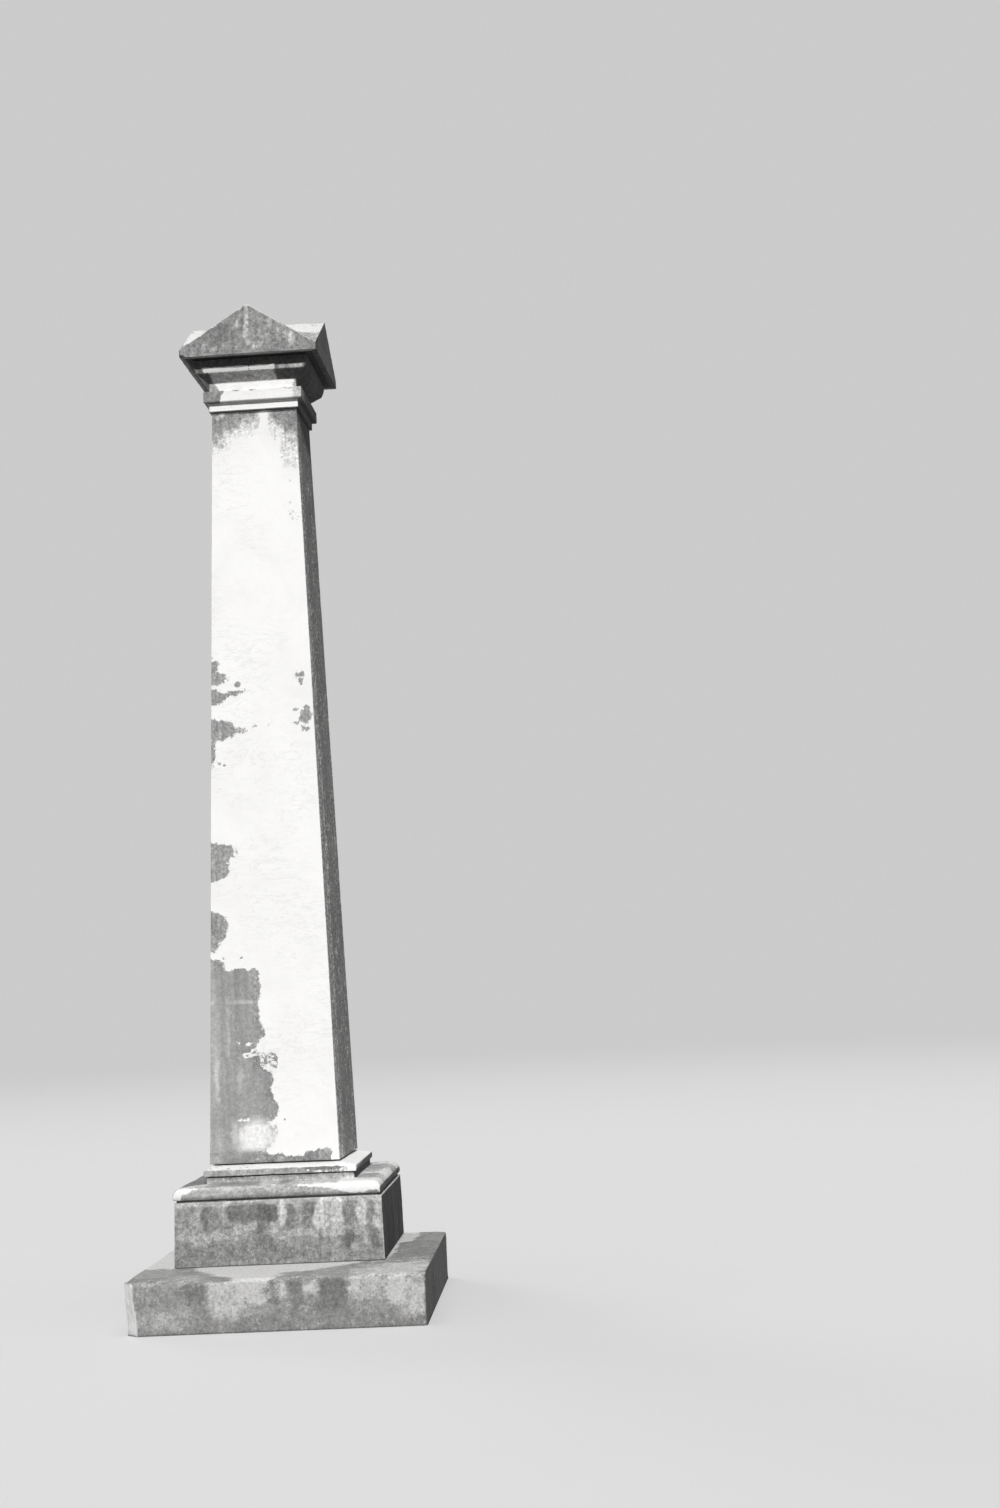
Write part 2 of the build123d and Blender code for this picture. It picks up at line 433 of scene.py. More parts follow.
# Materials
class Shader:
    """The nodes of a material or a world, written as calls that return an output."""

    def __init__(self, owner):
        owner.use_nodes = True
        self.owner, self.tree = owner, owner.node_tree
        self.surface = self.tree.nodes.get("Principled BSDF")
        if self.surface:
            self.place = self.add("ShaderNodeTexCoord", "Object")

    def add(self, kind, output, settings=(), **inputs):
        """Adds a node. An input goes by its name, or by i and its number."""
        node = self.tree.nodes.new(kind)
        for name, value in dict(settings).items():
            setattr(node, name, value)
        for name, value in inputs.items():
            self.plug(node.inputs[int(name[1:]) if name[1:].isdigit() else name], value)
        return node.outputs[output]

    def plug(self, socket, value):
        if isinstance(value, bpy.types.NodeSocket):
            self.tree.links.new(value, socket)
        else:
            socket.default_value = value

    def math(self, operation, a, b=0.0, clamp=False):
        return self.add("ShaderNodeMath", 0, {"operation": operation, "use_clamp": clamp},
                        i0=a, i1=b)

    def times(self, a, *factors, clamp=False):
        for factor in factors:
            a = self.math("MULTIPLY", a, factor, clamp)
        return a

    def plus(self, a, b):
        return self.math("ADD", a, b)

    def minus(self, a, b):
        return self.math("SUBTRACT", a, b)

    def stretched(self, upright, turn=(0, 0, 0)):
        return self.add("ShaderNodeMapping", 0, Vector=self.place, Scale=(1, 1, upright),
                        Rotation=turn)

    def noise(self, size, detail, rough, warp=0.0, place=None):
        """Noise from 0 to 1 with features about size millimetres across."""
        return self.add("ShaderNodeTexNoise", 0, Vector=place or self.place,
                        Scale=1 / (size * MM), Detail=detail, Roughness=rough, Distortion=warp)

    def attribute(self, name):
        return self.add("ShaderNodeAttribute", "Fac", {"attribute_name": name})

    def range(self, value, low, high, new_low=0.0, new_high=1.0, kind="LINEAR"):
        return self.add("ShaderNodeMapRange", 0, {"interpolation_type": kind},
                        i0=value, i1=low, i2=high, i3=new_low, i4=new_high)

    def step(self, value, low, high):
        return self.range(value, low, high, kind="SMOOTHSTEP")

    def swing(self, value, amount, low=0.25, high=0.75):
        """A factor that swings by an amount about 1 as the value goes from low to high."""
        return self.range(value, low, high, 1 - amount, 1 + amount)

    def mix(self, factor, a, b):
        return self.add("ShaderNodeMix", 2, {"data_type": "RGBA"}, i0=factor, i6=a, i7=b)

    def seen(self):
        """1 for what the camera sees, also by reflection and through glass, and else 0."""
        camera, glossy, glass = (self.add("ShaderNodeLightPath", f"Is {kind} Ray")
                                 for kind in ("Camera", "Glossy", "Transmission"))
        return self.math("MAXIMUM", self.math("MAXIMUM", camera, glossy), glass)

    def finish(self, colour, roughness, specular, *relief):
        """Sets the surface's sockets and gives the material. Relief is (height, distance)."""
        below = {}
        for height, distance in relief:
            below["Normal"] = self.add("ShaderNodeBump", 0, Height=height, Strength=1.0,
                                       Distance=distance * MM, **below)
        values = {"Base Color": colour, "Roughness": roughness, "Specular IOR Level": specular}
        for name, value in (values | below).items():
            self.plug(self.surface.inputs[name], value)
        return self.owner

    def end(self, factor, a, b):
        """Ends in a blend of two outputs."""
        blend = self.add("ShaderNodeMixShader", 0, i0=factor, i1=a, i2=b)
        out = next(n for n in self.tree.nodes if n.type.startswith("OUTPUT"))
        self.plug(out.inputs["Surface"], blend)


def grey(value, warmth=0.0):
    """A grey, or one a little warm."""
    return (value * (1 + warmth), value, value * (1 - 1.6 * warmth), 1)


def marble_material():
    """White marble with faint veins, under a grey growth that the painting places."""
    s = Shader(bpy.data.materials.new("weathered_marble"))
    growth, shade, rough, grime = map(s.attribute, PAINTED)

    # Stone: clouds, and thin veins that run nearly level and rise to the right
    clouds = s.noise(260, 5, 0.6, 0.8)
    veined = s.stretched(3.2, (0, math.radians(7), 0))
    vein = s.noise(150, 6, 0.62, 1.6, veined)
    vein = s.math("ABSOLUTE", s.minus(vein, 0.5))
    vein = s.minus(1.0, s.step(vein, 0.0, 0.026))
    sparse = s.step(s.noise(420, 2, 0.5), 0.44, 0.6)
    vein = s.times(vein, sparse)
    crystal = s.noise(2.2, 2, 0.5)
    stone = s.mix(s.step(clouds, 0.35, 0.75), grey(0.875, 0.006), grey(0.82, 0.008))
    stone = s.mix(s.times(vein, 0.34), stone, grey(0.55))
    stone = s.mix(s.range(crystal, 0.3, 0.7, 0.0, 0.1), stone, grey(0.74))

    # Growth: grey with fine mottling and upright streaks
    mottle = s.noise(17, 5, 0.68)
    fine = s.noise(9, 4, 0.74)
    runs = s.noise(12, 3, 0.6, 0.0, s.stretched(0.07))
    level = s.times(s.swing(mottle, 0.44), s.swing(fine, 0.52), s.swing(runs, 0.14, 0.3, 0.7))
    level = s.plus(1.0, s.times(s.minus(level, 1.0), rough))
    level = s.times(level, shade, clamp=True)
    crust = s.mix(level, grey(0.0), grey(1.0, 0.006))
    gathered = s.step(s.noise(70, 3, 0.6), 0.38, 0.62)
    specks = s.times(gathered, s.step(s.noise(6.5, 3, 0.6), 0.6, 0.68))
    paler = s.mix(s.times(level, 2.3, clamp=True), grey(0.0), grey(1.0))
    crust = s.mix(s.times(specks, 0.8, rough), crust, paler)
    scabs = s.times(s.step(s.noise(80, 3, 0.6, 0.5), 0.46, 0.62),
                    s.step(s.noise(9, 4, 0.7), 0.57, 0.66))
    crust = s.mix(s.times(scabs, 0.4, rough), crust, grey(0.11))

    # The growth's edge breaks up into specks
    ragged = s.times(s.minus(s.noise(12, 6, 0.78, 0.3), 0.5), 2.6)
    edge = s.plus(growth, ragged)
    cover = s.step(edge, 0.44, 0.56)
    colour = s.mix(cover, stone, crust)

    # Darkens toward a near-black grey: dark dirt, and painted shade where the painting puts it
    # under overhangs
    dirt_and_shade = s.times(grime, s.range(s.noise(9, 4, 0.7), 0.25, 0.6, 0.55, 1.15), clamp=True)
    colour = s.mix(dirt_and_shade, colour, grey(0.055, 0.01))

    return s.finish(colour, s.range(cover, 0.0, 1.0, 0.62, 0.88), 0.35,
                    (s.noise(1.6, 2, 0.6), 0.22), (s.noise(7, 4, 0.6), 0.5),
                    (s.times(cover, s.noise(4.5, 4, 0.7)), 0.55))


def slab_material():
    """The slab's rough stone: pale where it is rubbed bare, grey under crusts and lichen."""
    s = Shader(bpy.data.materials.new("rough_slab_stone"))
    growth, shade, grime = (s.attribute(name) for name in ("growth", "shade", "grime"))
    fine = s.noise(10, 5, 0.76)
    level = s.times(s.swing(s.noise(30, 6, 0.72, 0.5), 0.34), s.swing(fine, 0.5),
                    s.swing(s.noise(1.8, 2, 0.5), 0.08))
    level = s.times(level, shade, clamp=True)
    colour = s.mix(level, grey(0.0), grey(1.0, 0.008))

    # Lichen, in small round spots that gather in places
    spots = s.add("ShaderNodeTexVoronoi", "Distance", Vector=s.place, Scale=1 / (17 * MM))
    spots = s.step(s.plus(spots, s.range(fine, 0.0, 1.0, -0.2, 0.2)), 0.2, 0.3)
    where = s.step(s.noise(120, 3, 0.6), 0.52, 0.62)
    colour = s.mix(s.times(s.minus(1.0, spots), where, 0.45), colour, grey(0.55, 0.01))

    # Where the stone is bare it is pale, with small dark pits
    ragged = s.plus(s.noise(42, 6, 0.72, 0.3), s.noise(7, 4, 0.7))
    ragged = s.times(s.minus(ragged, 1.0), 1.7)
    bare = s.step(s.plus(growth, ragged), 0.18, 0.82)
    clean = s.mix(s.step(fine, 0.3, 0.7), grey(0.44, 0.008), grey(0.64, 0.006))
    clean = s.mix(s.step(shade, 0.7, 0.8), clean, grey(0.84, 0.004))
    pits = s.step(s.noise(6, 4, 0.7), 0.6, 0.68)
    clean = s.mix(s.times(pits, 0.5), clean, grey(0.3, 0.01))
    colour = s.mix(bare, colour, clean)
    dirt_and_shade = s.times(grime, s.range(s.noise(14, 4, 0.7), 0.25, 0.65, 0.5, 1.2), clamp=True)
    colour = s.mix(dirt_and_shade, colour, grey(0.06, 0.02))
    return s.finish(colour, 0.9, 0.3, (s.noise(2.4, 3, 0.6), 0.5), (s.noise(12, 5, 0.66), 1.6))


def mortar_material():
    """Old lime mortar, dark with dirt."""
    s = Shader(bpy.data.materials.new("old_mortar"))
    level = s.times(s.noise(6, 5, 0.7), s.noise(60, 3, 0.6))
    colour = s.mix(s.range(level, 0.1, 0.45, 0.0, 1.0), grey(0.1, 0.02), grey(0.36, 0.02))
    return s.finish(colour, 0.95, 0.2, (s.noise(3, 4, 0.7), 1.2))


MATERIALS = {"marble": marble_material(), "slab_stone": slab_material(),
             "mortar": mortar_material()}


# Slab, with soft patches on its faces as (place, place, radius, radius, shade)
SLAB_FRONT_TOUCHES = (
    (-320, 130, 130, 60, 0.29), (-330, 60, 100, 36, 0.36), (-222, 146, 40, 44, 0.21),
    (-120, 110, 62, 80, 0.37), (0, 90, 60, 30, 0.33), (26, 134, 12, 22, 0.26),
    (64, 120, 10, 36, 0.21), (96, 130, 22, 60, 0.34), (128, 140, 24, 64, 0.2),
    (168, 130, 24, 30, 0.36), (252, 124, 58, 84, 0.2), (250, 36, 84, 26, 0.26),
    (356, 140, 60, 44, 0.34), (380, 84, 80, 30, 0.31), (500, 90, 60, 60, 0.36))
# Where it is bare, with how far in place of the shade
SLAB_FRONT_BARE = (
    (-330, 62, 100, 30, 0.3), (-118, 118, 62, 74, 0.58), (-20, 142, 58, 50, 0.95),
    (22, 132, 16, 26, 0.25), (78, 142, 20, 36, 0.62), (128, 130, 24, 70, 0.05),
    (172, 136, 28, 30, 0.72), (252, 112, 60, 96, 0.0), (350, 150, 54, 40, 0.52),
    (400, 130, 60, 36, 0.5), (474, 130, 30, 60, 0.8), (536, 110, 34, 90, 0.6))
SLAB_TOP_TOUCHES = (
    (-430, -330, 110, 110, 0.25), (100, -450, 40, 46, 0.27), (230, -430, 70, 90, 0.27),
    (440, -430, 130, 110, 0.34), (330, -470, 40, 60, 0.3), (-260, -480, 60, 60, 0.3))
SLAB_TOP_BARE = (
    (-420, -545, 130, 40, 0.36), (120, -440, 60, 60, 0.05), (250, -410, 90, 90, 0.12),
    (390, -300, 70, 60, 0.36), (400, -470, 100, 90, 0.5), (500, -400, 90, 170, 0.55),
    (480, -220, 80, 60, 0.34), (160, -540, 110, 24, 0.4))

# The bare part of the slab's top in front of the die, between two lines of (y, x)
BARE_LEFT = (
    (-545, -98), (-500, -100), (-470, -144), (-440, -174), (-400, -184), (-370, -224), (-320, -244),
    (-232, -290))
BARE_RIGHT = (
    (-545, 62), (-480, 66), (-410, 78), (-398, 160), (-340, 206), (-280, 286), (-226, 330))


def slab():
    s = Stone("base_slab")
    low, high, half, foot, top = s.low, s.high, s.half, s.foot, s.top
    s.lay(((half, foot, 0, 60), (half, top - 22, 0, 6.5), (half, top, 0, 2.5),
           (half - 22, top, 0, 2.5)), (140, 110, 90, 110), SLAB_CORNER, 2 * CORE, 9)
    p = s.p

    # The left side draws in toward the foot, and the front left corner is broken off
    drawn_in = smooth(s.centre[0] - p[..., 0], half[0] - 60, half[0])
    p[..., 0] += 9 * smooth(top - 15 - p[..., 2], 0, 150) * drawn_in
    die = Stone("die_block")
    away = np.maximum(die.low[:2] - p[..., :2], p[..., :2] - die.high[:2]).max(axis=-1)
    corner = np.array((low[0], low[1], top))
    cut = np.array((-1.0, -1.0, -0.078))
    cut /= np.linalg.norm(cut)
    f = (p - corner) @ cut + SLAB_WORN_CORNER * DIAGONAL + 2.5 * fractal(p, 60, 14)
    p -= np.maximum(f, 0)[..., None] * cut
    s.round_level(half, top, ((15, 9), (2, 3), (4, 5), (7, 5)), 90, 20)
    s.wear_corners((1.5, 3.0, 70), 30)

    # The faces are rough, apart from where the die stands
    s.roughen(((1.8, 190, 11), (0.9, 42, 12, 4), (0.4, 12, 13)), 1.0,
              smooth(away, 2, 45) * smooth(p[..., 2], foot, foot + 8))
    edges = s.level(half, top, 1)
    s.chip(edges[:1], 9, (10, 34), 3)
    s.chip(edges[1:], 16, (6, 22), 5)
    s.chip(s.uprights(half, foot, half, top)[1:], 8, (8, 26), 4)
    bite(p, (high[0], high[1], top), (1, 1, 1), 20, 60)
    np.clip(p[..., 2], foot, None, out=p[..., 2])

    x, y, z = s.start_painting()
    top_side = smooth(s.up, 0.45, 0.8)
    warp = fractal(p, 60, 40, 4) + 0.5 * fractal(p, 15, 47)
    wander = 15 * warp
    path = np.minimum(between(x + wander, y + wander, BARE_LEFT, BARE_RIGHT, 70), 1.1)
    path = np.minimum(path, 0.5 + (die.low[1] - y + 8) / 16)
    left_ledge = np.minimum(die.low[0] - SHAFT_AXIS + 2 - x, y - die.low[1] - 6 + 12 * warp)
    left_ledge = 0.5 + left_ledge / 30
    beside = np.interp(y, (-226, -120, 250, 275, 400, 545), (2, 9, 12, 55, 66, 60))
    right_ledge = 0.5 + (beside - (x - die.high[0] + SHAFT_AXIS) + 8 * warp) / 16
    right_ledge = np.where((x > 0) & (y > die.low[1]), right_ledge, 0)
    bare_top = touches(0.08 + 0.1 * warp, x + wander, y + wander, SLAB_TOP_BARE, 60)
    bare_top = np.maximum.reduce((bare_top, path, left_ledge, np.minimum(right_ledge, 0.75)))
    broken = softly(0.5 + (f + 2) / 4)
    sides = 0.15 + 0.5 * fractal(p, 90, 41, 4)
    bare_front = touches(0.12 + 0.12 * warp, x + wander, z + wander, SLAB_FRONT_BARE, 24)
    bare_sides = s.by_face(bare_front, sides - 0.6, sides)
    s.growth = np.maximum(top_side * bare_top + (1 - top_side) * bare_sides, 1.1 * broken)
    shade_top = 0.22 + 0.04 * fractal(p, 160, 42)
    shade_top = touches(shade_top, x + wander, y + wander, SLAB_TOP_TOUCHES, 60)
    shade_front = 0.26 + 0.03 * fractal(p, 120, 43)
    shade_front = touches(shade_front, x + wander, z + wander, SLAB_FRONT_TOUCHES, 26) * 0.92
    # The right face is painted darker with streaks, partly as painted shade where the key lamp only
    # grazes it
    shade_right = 0.135 + 0.06 * s.streaks(30, 240, 48)
    shade_side = 0.3 + 0.06 * fractal(p, 120, 44)
    shade_sides = s.by_face(shade_front, shade_right, shade_side)
    s.shade = top_side * shade_top + (1 - top_side) * shade_sides
    s.shade += (0.9 - s.shade) * broken * (1 - top_side)
    s.grime = 0.25 * smooth(-away, -6, 0) * smooth(fractal(p, 60, 45), -0.3, 0.6) * top_side
    s.grime += 0.4 * smooth(foot + 24 - z + 12 * fractal(p, 50, 46), 0, 34)
    s.finish("slab_stone")


# Die, with patches of shade on its front
DIE_TOUCHES = (
    (-300, 350, 60, 50, 0.3), (-241, 352, 11, 52, 0.17), (-205, 355, 26, 50, 0.25),
    (-170, 362, 14, 46, 0.36), (-118, 366, 46, 34, 0.18), (-62, 362, 20, 30, 0.16),
    (-18, 366, 40, 40, 0.14), (-230, 284, 120, 20, 0.34), (-100, 312, 44, 13, 0.34),
    (12, 312, 18, 20, 0.42), (-22, 246, 42, 32, 0.17), (-44, 306, 12, 40, 0.14),
    (39, 364, 15, 42, 0.5), (68, 350, 12, 50, 0.21), (98, 355, 16, 45, 0.32),
    (136, 357, 22, 42, 0.2), (208, 352, 56, 56, 0.49), (190, 360, 5, 40, 0.36),
    (282, 366, 20, 38, 0.23), (326, 350, 22, 44, 0.5), (352, 350, 12, 32, 0.27),
    (384, 340, 18, 62, 0.42), (100, 284, 90, 17, 0.36), (270, 290, 70, 19, 0.36),
    (281, 256, 20, 36, 0.15), (375, 260, 14, 32, 0.17), (176, 278, 6, 24, 0.19),
    (334, 256, 10, 24, 0.4), (298, 232, 14, 22, 0.33), (-180, 222, 150, 30, 0.205),
    (30, 216, 90, 24, 0.19))


def die():
    s = Stone("die_block")
    half, foot, top = s.half, s.foot, s.top
    upper = half - DIE_BATTER
    s.lay(((half, foot, 1.6, 120), (upper, top - 14, 0, 4.6), (upper, top, 0, 1.6),
           (upper - 14, top, 0, 1.6)), (150, 90, 70, 90), 3)
    s.round_level(upper, top, ((5, 3), (2.5, 2), (3, 3), (4, 3)), 70, 50)
    s.roughen(((0.9, 150, 51), (0.35, 22, 52)), 0.5, s.off_levels())
    s.wear_corners((1.6, 2.4, 60), 53)
    s.wear_level(half, foot, -1, (0.8, 1.6, 60), 55)
    s.chip(s.uprights(half, foot, upper, top), 16, (5, 20), 56)
    s.chip(s.level(half, foot, -1), 18, (5, 16), 57)
    s.chip(s.level(upper, top, 1), 14, (5, 14), 58)

    x, _, z, wide, mottled, finer, warped = s.start_painting(
        ((46, 46, 120), 60, 4), (26, 61, 4), (10, 63, 2), (36, 64, 5))
    mottled += 0.6 * finer
    runs = s.streaks(20, 260, 62)
    upper_part = smooth(z, 300, 325)
    front = 0.245 + 0.02 * wide
    front = touches(front, x + 9 * warped + 3 * mottled, z + 18 * warped, DIE_TOUCHES, 10)
    front *= 1 + 0.14 * runs * upper_part + 0.2 * mottled
    # Lighter along the right arris, and a painted highlight along the top arris where it catches
    # the light
    front += 0.14 * smooth(x, 397, 402) + 0.16 * smooth(z + 3 * mottled, top - 19, top - 12)
    # The right face is painted near black, partly dark growth and partly painted shade where the
    # key lamp only grazes it, with a painted highlight along its top arris
    right = 0.026 + 0.02 * wide + 0.03 * runs + 0.5 * smooth(z, top - 5, top - 2)
    other = 0.27 + 0.07 * wide + 0.06 * runs
    s.growth[:] = 1.0
    s.shade = s.by_face(front, right, other)
    s.grime = 0.4 * smooth(foot + 4 - z + 4 * mottled, 0, 6)
    s.finish()


# Base moulding: the growth's upper edge on the front of the nose, as (place, height)
NOSE_GROWTH = (
    (-362, -6), (-328, -6), (-322, 22), (-297, 25), (-288, 32), (-282, 36), (-254, 38), (-236, 50),
    (60, 50), (100, 34), (143, 30), (179, 27), (215, 23), (251, 14), (269, 7), (312, 4), (340, 4),
    (348, 12), (384, 12), (392, 3), (402, 2))


def moulding():
    s = Stone("base_moulding")
    low, high, half, foot, top = s.low, s.high, s.half, s.foot, s.top
    nose = half[0]
    controls = [(nose - NOSE_BULGE, foot, 1.5, 120)]
    for turn in np.radians((25, 50, 75)):
        controls.append((nose - NOSE_BULGE * (1 - math.sin(turn)),
                         foot + NOSE_DROP * (1 - math.cos(turn)), 0, 4))
    for turn in np.radians(np.arange(0, 91, 9)):
        controls.append((nose - NOSE_RADIUS * (1 - math.cos(turn)),
                         foot + NOSE_DROP + NOSE_RADIUS * math.sin(turn), 0, 6))
    corner = NOSE_DROP + NOSE_RADIUS + WASH_RISE
    controls += [(MOULDING_FILLET, foot + corner, 2.5, 6), (MOULDING_FILLET, top, 1.5, 4)]
    s.lay(controls, (150, 90, 70, 90), 5)
    s.roughen(((1.1, 120, 71), (0.4, 18, 72)), 0.6, s.off_beds(4))
    s.wear_corners((3.0, 4.0, 50), 73)
    s.chip(s.level(half - 3, foot + 4, -1), 16, (6, 22), 74)
    s.chip(s.uprights(half, foot, half, foot + 40), 6, (8, 24), 75)

    x, y, z, mottled, wide, curved = s.start_painting(
        (26, 76, 4), ((70, 70, 30), 77), ((150, 90, 80), 78, 4))
    height = z - foot

    # On the front the growth lies over the nose up to a line that drops to the right
    line = np.interp(x, *zip(*NOSE_GROWTH))
    nose_front = 0.5 + (line - height + 3 * mottled) / 9
    above_streak = 0.72 * smooth(height, 34, 44) * (1 - smooth(x, 225, 262))
    nose_front = np.maximum(nose_front, above_streak + 0.3 * mottled)
    fillet_front = 0.85 + 0.3 * mottled
    front = np.where(height > corner + 2, fillet_front, nose_front)
    roll = smooth(s.p[..., 0] - high[0] + 44, 0, 18)
    right = 0.62 - 0.34 * roll + 0.3 * mottled + 0.7 * curved
    right -= 0.8 * smooth(low[1] + 150 - y, 0, 80)
    # On the right face the growth is painted dark on the lower roll and on the fillet: painted
    # shade where the key lamp does not reach
    at_foot, at_fillet = smooth(26 - height, 0, 5), smooth(height, corner, corner + 3)
    right += 1.5 * at_foot + 1.5 * at_fillet
    s.growth = s.by_face(front, right, 0.6 + 0.7 * wide + 0.3 * mottled, 0.9 + 0.3 * mottled)
    # The growth on the nose is paler on its crown and darker toward its underside: painted shade
    # over the growth's grey
    nose_shade = 1 + 0.25 * smooth(height, 28, 42) - 0.25 * smooth(20 - height, 0, 16)
    nose_shade *= 0.42 + 0.08 * wide
    # The fillet's growth is darker toward its top: painted shade under the plinth's overhang, over
    # the growth's grey
    fillet_shade = 0.16 + 0.05 * smooth(x, 240, 290)
    fillet_shade = 0.33 + 0.06 * wide + fillet_shade * smooth(top - 2 - z, 0, 16)
    front_shade = np.where(height > corner + 2, fillet_shade, nose_shade)
    right_shade = 0.42 + 0.1 * wide - 0.34 * at_foot - 0.34 * at_fillet
    s.shade = s.by_face(front_shade, right_shade, 0.3 + 0.08 * wide, 0.17 + 0.05 * wide)
    crease = smooth(-np.abs(height - corner + 1 + 2 * mottled), -7, 0)
    some = np.interp(x, (-254, -234, -54, -39, 21, 31, 56, 71), (0, 1, 1, 0.15, 0.15, 1, 1, 0.1))
    s.grime = 0.18 + 0.4 * crease * some + 0.1 * smooth(5 - height + 3 * mottled, 0, 8)
    s.finish()


# Plinth
def plinth():
    s = Stone("shaft_plinth")
    low, high, half, foot, top = s.low, s.high, s.half, s.foot, s.top
    ledge = foot + PLINTH_FACE
    s.lay(((half, foot, 1.4, 120), (half, ledge, 2.2, 3.6),
           (SEAT_WIDTH / 2, top, 1.5, 5, Stone("shaft").centre)), (120, 80, 60, 80), 3)
    s.roughen(((0.7, 90, 81), (0.35, 14, 82)), 0.4, 1 - smooth(s.p[..., 2], top - 3, top))
    s.wear_corners((1.8, 2.6, 50), 83)
    s.wear_level(half, ledge, 1, (1.2, 2.4, 46), 84)
    s.chip(s.level(half, ledge, 1), 22, (5, 18), 85)
    s.chip(s.level(half, foot, -1), 14, (4, 12), 86)
    s.chip(s.uprights(half, foot, half, ledge), 5, (6, 16), 87)

    x, y, z, mottled, wide = s.start_painting((22, 88, 4), (70, 89))
    wash = smooth(z, ledge - 2, ledge + 2)
    face_front = np.interp(x, (-264, 60, 110, 250, 290), (0.9, 0.8, 0.25, 0.05, -0.6))
    face_front += 0.5 + 0.3 * mottled
    wash_front = np.interp(x, (-290, -240, -210, -64, 116, 300), (-0.2, 0.3, 0.2, 0.1, 0.0, -0.3))
    wash_front += 0.02 + 0.4 * mottled
    smudge = blob(x + 8 * mottled, z + 5 * mottled, 182, ledge - 4, 78, 9, 4)
    smudge = softly(smudge) * (1 - wash)
    front = np.maximum((1 - wash) * face_front + wash * wash_front, 0.9 * smudge)
    right = (1 - wash) + wash * (-0.5 + 0.3 * mottled)
    other = 0.45 + 0.5 * wide + 0.4 * mottled
    s.growth = s.by_face(front, right, other, other + 0.2)
    front_shade = (1 - wash) * (0.35 + 0.1 * mottled) * (1 - 0.45 * smudge)
    front_shade += wash * (0.4 + 0.1 * mottled - 0.2 * smudge)
    shade = 0.3 + 0.08 * wide + 0.08 * wash
    # The right face below the wash is painted near black, paler toward its upper front: painted
    # shade and painted light
    behind = (y - low[1]) / (high[1] - low[1])
    lighter = smooth(z - foot - 4 - 28 * behind, 0, 6)
    right_shade = (1 - wash) * (0.11 + 0.03 * wide + 0.34 * lighter) + wash * 0.4
    s.shade = s.by_face(front_shade, right_shade, shade, shade)
    wash_grime = 0.18 - 0.12 * smooth(x, 215, 250)
    s.grime = s.by_face(wash_grime, 0.0, 0.14) * wash + 0.2 * smooth(foot + 3 - z, 0, 4)
    s.grime += 0.25 * smooth(z - top + 2 + 2 * mottled, 0, 3)
    s.finish()


# Shaft: the growth's right edge on the front face, as (height, place), and patches above it
GROWTH_EDGE = (
    (530, -49), (600, -56), (640, -94), (668, -69), (682, -4), (705, 18), (735, 24), (756, 1),
    (800, -6), (862, -2), (868, -44), (905, -49), (930, -66), (955, -56), (978, -42), (996, -20),
    (1016, -28), (1056, -44), (1100, -46), (1146, -38), (1200, -38), (1232, -46), (1238, -164),
    (1268, -168), (1276, -206), (1284, -236), (1300, -274))
SHAFT_PATCHES = (
    (-220, 1392, 70, 60), (-210, 1342, 24, 34), (-206, 1674, 94, 38), (-202, 1615, 60, 50),
    (-194, 2142, 92, 42), (-110, 2139, 46, 11), (-189, 2268, 54, 31), (-128, 2279, 58, 9),
    (-188, 2338, 58, 26), (-188, 2388, 28, 26), (-194, 2050, 13, 48), (164, 2178, 23, 28),
    (168, 2207, 13, 14), (161, 2133, 16, 8), (146, 2341, 15, 9), (148, 2318, 7, 13))
SHAFT_SPECKS = (
    (-92, 2312, 13, 11), (128, 2206, 9, 6), (129, 2154, 13, 5), (-172, 1281, 5, 6),
    (-104, 1281, 5, 4), (41, 681, 5, 5), (94, 626, 12, 5), (48, 601, 5, 3), (-31, 2151, 6, 5),
    (23, 2153, 5, 4), (-169, 2013, 8, 6), (-149, 2006, 6, 4), (131, 3013, 5, 5), (134, 3099, 5, 5),
    (-158, 3243, 15, 6), (-106, 3262, 8, 4))
# Bare stone shows in the growth at the first of these, and it is thinner at the others
BARE_PATCHES = (
    (-124, 968, 17, 8), (-87, 962, 18, 10), (-92, 920, 24, 15), (-72, 928, 16, 16),
    (-112, 686, 46, 9))
THIN_PATCHES = (
    (-99, 1116, 46, 5, 0.52), (-206, 846, 8, 78, 0.47), (-159, 1020, 5, 80, 0.44),
    (-118, 820, 9, 46, 0.45), (-214, 1118, 24, 6, 0.5), (-196, 1060, 24, 70, 0.32),
    (-150, 640, 10, 44, 0.46), (-190, 600, 30, 60, 0.33), (-90, 760, 30, 70, 0.33))
# How far the growth under the neck reaches down, as (place, depth), and the gaps in it
NECK_GROWTH = (
    (-176, 140), (-150, 138), (-125, 118), (-95, 100), (-70, 62), (-40, 64), (-10, 58), (16, 44),
    (28, 6), (42, 2), (56, 44), (80, 74), (110, 96), (130, 128), (150, 140), (176, 146))
NECK_GAPS = ((-142, 3363, 13, 13), (-130, 3371, 15, 12), (34, 3350, 8, 40))


